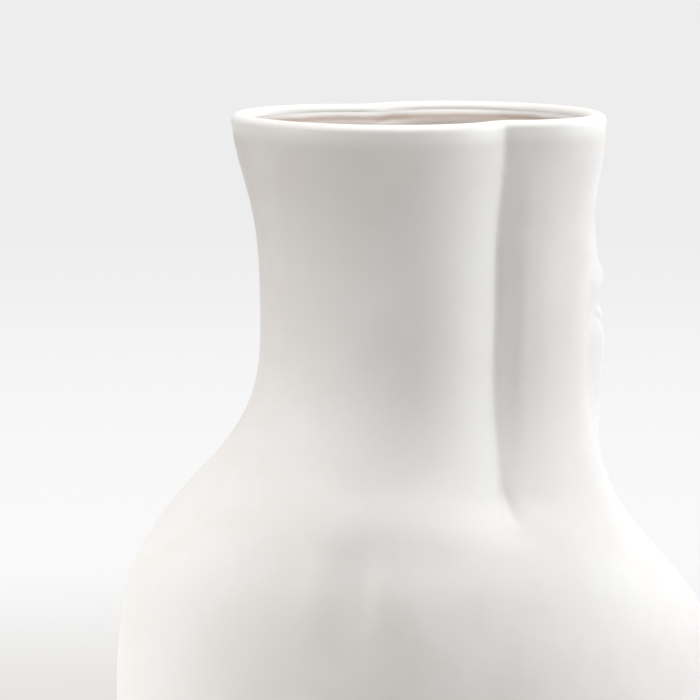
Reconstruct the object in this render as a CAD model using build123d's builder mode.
from build123d import *
import os
from math import asin, cos, degrees, hypot, pi, radians, sin, sqrt

# A free-standing ceramic vase with a face, in millimetres. +Z is up, the origin is the middle
# of the footprint on the table, the face looks to -Y and both halves mirror about X = 0.
# Seen from above, the neck and the mouth are two overlapping lobes, the back lobe and the face
# lobe. They meet in a crease on each side, which runs down the neck and ends on the shoulder.

# Heights above the table
height = 300
neck_height = 236
crease_end_height = 160
crease_fade_length = 21
belly_height = 110

# Reach of the outer wall from the axis, to the back, to the face side and to the two sides, where
# the back lobe is widest
mouth_back_reach = 61.2
mouth_face_reach = 60.7
mouth_side_reach = 54
neck_back_reach = 51.5
neck_face_reach = 57
neck_side_reach = 47.4
belly_back_reach = 102.4
belly_face_reach = 102.4
belly_side_reach = 89
foot_radius = 60

# The crease points lie this far back of the axis, and the middle of each lobe this far from them
mouth_crease_back = -4.8
neck_crease_back = -7.1
shoulder_crease_back = 6.6
back_lobe_spread = 22.3
face_lobe_spread = 16

# Thickness of the wall, measured level, so that it is more where the shoulder slants
mouth_wall = 5.8
neck_wall = 5.6
shoulder_wall = 8.5
belly_wall = 6
floor_thickness = 7
glaze_thickness = 0.5

# Rounds
lip_round = 2.6
floor_round = 26
foot_round = 3

# The foot stands on pads, and is hollowed inside its ring
ring_width = 15
ring_recess = 2.5
pad_height = 1.5
pad_radius = 5.5
pad_count = 4

# The face, from the chin up to the hairline, spread over an arc of the face lobe
chin_height = 178
face_height = 96
face_width = 78
face_relief = 15
face_half_angle = 56

# How finely the lofts follow the form
face_step_count = 30
face_row_count = 45
inner_row_count = 12
shoulder_row_count = 6
round_step_count = 3
crossing_halving_count = 40

# The vase seen from the side: share of the way up and share of the way across, from the belly
# to the neck, from the neck to the mouth, and of the crease from its end to the neck
back_shoulder_shares = [
    (0.2, 0.022), (0.38, 0.15), (0.5, 0.385), (0.62, 0.685), (0.76, 0.925), (0.88, 0.995)
]
side_shoulder_shares = [
    (0.1, 0.02), (0.27, 0.14), (0.37, 0.265), (0.46, 0.452),
    (0.555, 0.685), (0.65, 0.85), (0.75, 0.95), (0.88, 0.995),
]
face_shoulder_shares = [(0.14, 0.04), (0.28, 0.29), (0.4, 0.6), (0.52, 0.86), (0.68, 0.985)]
flare_shares = [(0.3, 0.08), (0.55, 0.34), (0.8, 0.78)]
crease_shares = [(0.105, 0.015), (0.17, 0.09), (0.237, 0.3), (0.355, 0.585), (0.49, 0.775), (0.66, 0.905)]
bowl_level_shares = [0, 0.12, 0.27, 0.45, 0.7]
bowl_roundness_share = 2.2

# The face stands on a raised oval: its middle above the chin, its half width, how far it goes up
# and down from its middle, all as shares of the face's height, and its rise as a share of the relief
oval_level_share = 0.48
oval_width_share = 0.385
oval_rise_share = 0.58
oval_drop_share = 0.52
oval_relief_share = 0.24

# Forms of the face, each a soft ridge or hollow through one or more places. A place is how far it
# lies out from the middle and up from the chin, its half width, all as shares of the face's
# height, and its rise as a share of the relief
form_shares = {
    "forehead": [(0, 0.83, 0.31, 0.11)],
    "brow": [
        (0.02, 0.66, 0.06, 0.07), (0.1, 0.695, 0.065, 0.13), (0.19, 0.7, 0.065, 0.13), (0.28, 0.66, 0.06, 0.08)
    ],
    "socket": [(0.07, 0.6, 0.065, -0.13), (0.135, 0.61, 0.095, -0.19), (0.22, 0.6, 0.095, -0.17)],
    "lid": [(0.1, 0.58, 0.05, 0.06), (0.165, 0.59, 0.08, 0.23), (0.24, 0.575, 0.05, 0.06)],
    "nose": [(0, 0.69, 0.062, 0.08), (0, 0.6, 0.06, 0.2), (0, 0.49, 0.077, 0.41), (0, 0.39, 0.088, 0.64)],
    "nose_wing": [(0.065, 0.375, 0.05, 0.18)],
    "cheek": [(0.2, 0.47, 0.155, 0.13), (0.25, 0.4, 0.145, 0.08)],
    "muzzle": [(0, 0.235, 0.175, 0.16), (0.06, 0.225, 0.155, 0.15)],
    "upper_lip": [(0, 0.245, 0.045, 0.1), (0.1, 0.225, 0.03, 0.04)],
    "lower_lip": [(0, 0.18, 0.05, 0.14), (0.09, 0.205, 0.03, 0.05)],
    "chin": [(0, 0.06, 0.13, 0.23), (0.03, 0.06, 0.13, 0.21)],
}

# Degrees in half and a quarter of a full turn
half_turn = 180
quarter_turn = 90

# Sizes worked out from those above
mouth_height = height - lip_round
floor_height = pad_height + floor_thickness
ring_middle_radius = foot_radius - foot_round - ring_width / 2


# Smooth start and end between 0 and 1
def ease(share):
    held = min(max(share, 0), 1)
    return held * held * (3 - 2 * held)


# Even levels from one height to another
def levels_between(low, high, rows):
    return [low + (high - low) * row / rows for row in range(rows + 1)]


# The first of two stations, each a height and a reach, and the stations between them
def stations_between(low, high, shares):
    climb, reach = high[0] - low[0], high[1] - low[1]
    return [low] + [(low[0] + up * climb, low[1] + across * reach) for up, across in shares]


# How sharply a smooth curve through stations bends at each, with a level start and a free end
def bends_through(spans, slopes):
    pulls, loads = [1 / 2], [3 * slopes[0] / spans[0]]
    for before, after, slope, next_slope in zip(spans, spans[1:], slopes, slopes[1:]):
        stiffness = 2 * (before + after) - before * pulls[-1]
        pulls.append(after / stiffness)
        loads.append((6 * (next_slope - slope) - before * loads[-1]) / stiffness)
    bends = [0]
    for pull, load in zip(reversed(pulls), reversed(loads)):
        bends.insert(0, load - pull * bends[0])
    return bends


# The value at a level of the smooth curve through stations, each a height and a value
def follow(stations, level):
    if level <= stations[0][0]:
        return stations[0][1]
    if level >= stations[-1][0]:
        return stations[-1][1]
    spans = [above[0] - below[0] for below, above in zip(stations, stations[1:])]
    slopes = [(above[1] - below[1]) / span for below, above, span in zip(stations, stations[1:], spans)]
    bends = bends_through(spans, slopes)
    row = max(i for i, station in enumerate(stations[:-1]) if station[0] <= level)
    part = (level - stations[row][0]) / spans[row]
    rest = 1 - part
    sway = (rest**3 - rest) * bends[row] + (part**3 - part) * bends[row + 1]
    return rest * stations[row][1] + part * stations[row + 1][1] + spans[row] ** 2 * sway / 6


# Reach of the outer wall on one side at a level: the bowl, the shoulder and the flare of the neck
def reach_at(level, belly_reach, neck_reach, mouth_reach, shoulder_shares):
    if level < belly_height:
        drop = (belly_height - level) / (belly_height - pad_height)
        return belly_reach - (belly_reach - foot_radius) * drop**bowl_roundness_share
    belly, neck, mouth = (belly_height, belly_reach), (neck_height, neck_reach), (mouth_height, mouth_reach)
    shoulder = stations_between(belly, neck, shoulder_shares)
    flare = stations_between(neck, mouth, flare_shares)
    return follow(shoulder + flare + [mouth], level)


# How far behind the axis the crease points lie at a level
def crease_back_at(level):
    end, neck = (crease_end_height, shoulder_crease_back), (neck_height, neck_crease_back)
    stations = [(belly_height, 0)] + stations_between(end, neck, crease_shares)
    return follow(stations + [neck, (mouth_height, mouth_crease_back)], level)


# How far behind the axis the outlines of the two lobes cross
def crossing_of(back_lobe, face_lobe):
    back_centre, back_width, back_depth = back_lobe
    face_centre, face_lobe_width, face_depth = face_lobe
    low, high = face_centre, back_centre
    for halving in range(crossing_halving_count):
        middle = (low + high) / 2
        back_out = back_width**2 * (1 - ((middle - back_centre) / back_depth) ** 2)
        face_out = face_lobe_width**2 * (1 - ((middle - face_centre) / face_depth) ** 2)
        low, high = (middle, high) if back_out < face_out else (low, middle)
    return (low + high) / 2


# The crease and both lobes at a level, drawn in by an inset, each lobe as its centre, its half
# width and its half depth
def lobes_at(level, inset):
    side = reach_at(level, belly_side_reach, neck_side_reach, mouth_side_reach, side_shoulder_shares)
    back = reach_at(level, belly_back_reach, neck_back_reach, mouth_back_reach, back_shoulder_shares)
    face = reach_at(level, belly_face_reach, neck_face_reach, mouth_face_reach, face_shoulder_shares)
    crease = crease_back_at(level)
    opened = ease((level - crease_end_height) / crease_fade_length)
    back_centre = crease + back_lobe_spread * opened
    face_centre = crease - face_lobe_spread * opened
    back_depth, face_depth = back - back_centre, face + face_centre
    crease_reach = side * sqrt(1 - ((crease - back_centre) / back_depth) ** 2)
    face_side = crease_reach / sqrt(1 - ((crease - face_centre) / face_depth) ** 2)
    back_lobe = (back_centre, side - inset, back_depth - inset)
    face_lobe = (face_centre, face_side - inset, face_depth - inset)
    return crossing_of(back_lobe, face_lobe), back_lobe, face_lobe


# Smooth hill, 1 at its middle and 0 past its half width
def hill(distance, half_width):
    return (1 + cos(pi * min(abs(distance) / half_width, 1))) / 2


# The rise of one form of the face at a place, the strongest along its course
def form_rise_at(places, out, up):
    strongest = 0
    for start, end in zip(places, places[1:] or places):
        run, climb = end[0] - start[0], end[1] - start[1]
        length = hypot(run, climb)
        along = ((out - start[0]) * run + (up - start[1]) * climb) / length**2 if length else 0
        part = min(max(along, 0), 1)
        half_width = start[2] + part * (end[2] - start[2])
        distance = hypot(out - start[0] - part * run, up - start[1] - part * climb)
        rise = (start[3] + part * (end[3] - start[3])) * hill(distance, half_width)
        strongest = max(strongest, rise, key=abs)
    return strongest


# How far the face stands out of its lobe, at shares of its height out from the middle and up
def relief_at(out, up):
    tall = oval_rise_share if up > oval_level_share else oval_drop_share
    oval = hypot(out / oval_width_share, (up - oval_level_share) / tall)
    rise = oval_relief_share * ease(2 * (1 - oval))
    return face_relief * (rise + sum(form_rise_at(places, out, up) for places in form_shares.values()))


# Points across the front of the face lobe at a level, with the face raised from it where it stands
def face_points(level, centre, width, depth):
    points = []
    for step in range(face_step_count + 1):
        out = step / face_step_count - 1 / 2
        angle = radians(2 * face_half_angle) * out
        along, up = abs(out) * face_width / face_height, (level - chin_height) / face_height
        rise = relief_at(along, up)
        side_lean, front_lean = sin(angle) / width, cos(angle) / depth
        lean = hypot(side_lean, front_lean)
        across = width * sin(angle) + rise * side_lean / lean
        points.append((across, centre - depth * cos(angle) - rise * front_lean / lean))
    return points


# The outer wall's outline at a level, drawn in by an inset. The back lobe is one arc, and the face
# lobe is a cheek, the face and the other cheek
def outline_at(level, inset=0):
    crease, (back_centre, back_width, back_depth), face_lobe = lobes_at(level, inset)
    centre, width, depth = face_lobe
    back_turn = degrees(asin((crease - back_centre) / back_depth))
    face_turn = degrees(asin((crease - centre) / depth))
    cheek = quarter_turn + face_turn - face_half_angle
    edge = radians(face_half_angle)
    run = (width * cos(edge), depth * sin(edge))
    with BuildSketch(Plane.XY.offset(level)) as outline:
        with BuildLine():
            back_arc = half_turn - 2 * back_turn
            EllipticalCenterArc((0, back_centre), back_width, back_depth, back_turn, arc_size=back_arc)
            EllipticalCenterArc((0, centre), width, depth, half_turn - face_turn, arc_size=cheek)
            points = face_points(level, centre, width, depth)
            even = [step / face_step_count for step in range(face_step_count + 1)]
            add(Edge.make_spline(points, [(run[0], -run[1]), run], parameters=even))
            EllipticalCenterArc((0, centre), width, depth, face_half_angle - quarter_turn, arc_size=cheek)
        make_face()
    return outline.sketch


# The hollow's outline at a level, inside a wall of some thickness: two plain arcs, without the face
def hollow_outline_at(level, wall):
    crease, (back_centre, back_width, back_depth), face_lobe = lobes_at(level, wall)
    centre, width, depth = face_lobe
    back_turn = degrees(asin((crease - back_centre) / back_depth))
    face_turn = degrees(asin((crease - centre) / depth))
    with BuildSketch(Plane.XY.offset(level)) as outline:
        with BuildLine():
            back_arc = half_turn - 2 * back_turn
            EllipticalCenterArc((0, back_centre), back_width, back_depth, back_turn, arc_size=back_arc)
            face_arc = half_turn + 2 * face_turn
            EllipticalCenterArc((0, centre), width, depth, half_turn - face_turn, arc_size=face_arc)
        make_face()
    return outline.sketch


# Levels over the lip with the inset of each, from upright at the mouth to flat on top
def lip_levels(way):
    turns = [radians(quarter_turn * step / round_step_count) for step in range(round_step_count + 1)]
    return [(mouth_height + lip_round * sin(turn), way * lip_round * (1 - cos(turn))) for turn in turns]


# Thickness of the wall at a level, which fills the corner between the wall and the floor
def wall_at(level):
    shoulder_height = crease_end_height + crease_fade_length / 2
    stations = [(belly_height, belly_wall), (shoulder_height, shoulder_wall), (neck_height, neck_wall)]
    corner = max(1 - (level - floor_height) / floor_round, 0)
    filled = floor_round * (1 - sqrt(1 - corner**2))
    return follow(stations + [(mouth_height, mouth_wall)], level) + filled


# The hollow up to the mouth, with a lining of some thickness left inside it
def hollow_bowl(lining):
    floor = floor_height + lining
    corner = [floor + floor_round * share for share in (0, 0.04, 0.15, 0.45, 1)]
    bowl = corner + levels_between(floor + floor_round, belly_height, 3)[1:]
    levels = bowl + levels_between(belly_height, crease_end_height, shoulder_row_count)[1:]
    return [hollow_outline_at(level, wall_at(level - lining) + lining) for level in levels]


def hollow_neck(lining):
    levels = levels_between(crease_end_height, mouth_height, inner_row_count)
    return [hollow_outline_at(level, wall_at(level) + lining) for level in levels]


# The body: a bowl, the creased neck with the face, and the lip round, then hollowed
bowl_levels = [pad_height + (belly_height - pad_height) * share for share in bowl_level_shares]
bowl_levels += levels_between(belly_height, crease_end_height, shoulder_row_count)
neck_levels = levels_between(crease_end_height, mouth_height, face_row_count)

with BuildPart() as vase_body:
    loft([outline_at(level) for level in bowl_levels])
    loft([outline_at(level) for level in neck_levels])
    loft([outline_at(level, inset) for level, inset in lip_levels(1)])
    loft(hollow_bowl(0), mode=Mode.SUBTRACT)
    loft(hollow_neck(0), mode=Mode.SUBTRACT)
    inner_lip = [hollow_outline_at(level, mouth_wall + inset) for level, inset in lip_levels(-1)]
    loft(inner_lip, mode=Mode.SUBTRACT)
    fillet(vase_body.edges().group_by(Axis.Z)[0], foot_round)
    with BuildSketch(Plane.XY.offset(pad_height)):
        Circle(foot_radius - foot_round - ring_width)
    extrude(amount=ring_recess, mode=Mode.SUBTRACT)
vase_body.part.label = "vase_body"

# The glaze that lines the hollow from the floor up to the lip round
with BuildPart() as inner_glaze:
    loft(hollow_bowl(0))
    loft(hollow_neck(0))
    loft(hollow_bowl(glaze_thickness), mode=Mode.SUBTRACT)
    loft(hollow_neck(glaze_thickness), mode=Mode.SUBTRACT)
inner_glaze.part.label = "inner_glaze"

os.makedirs("parts", exist_ok=True)
export_step(vase_body.part, "parts/vase_body.step")
export_step(inner_glaze.part, "parts/inner_glaze.step")

# Round pads under the foot ring
for number in range(pad_count):
    turn = radians(2 * half_turn * (number + 1 / 2) / pad_count)
    place = (ring_middle_radius * cos(turn), ring_middle_radius * sin(turn))
    with BuildPart() as foot_pad:
        with BuildSketch():
            with Locations(place):
                Circle(pad_radius)
        extrude(amount=pad_height)
    foot_pad.part.label = f"foot_pad_{number + 1}"
    export_step(foot_pad.part, f"parts/foot_pad_{number + 1}.step")

for name, solid in (("vase_body", vase_body.part), ("inner_glaze", inner_glaze.part)):
    print(name, "volume", round(solid.volume), "valid", solid.is_valid, "solids", len(solid.solids()))
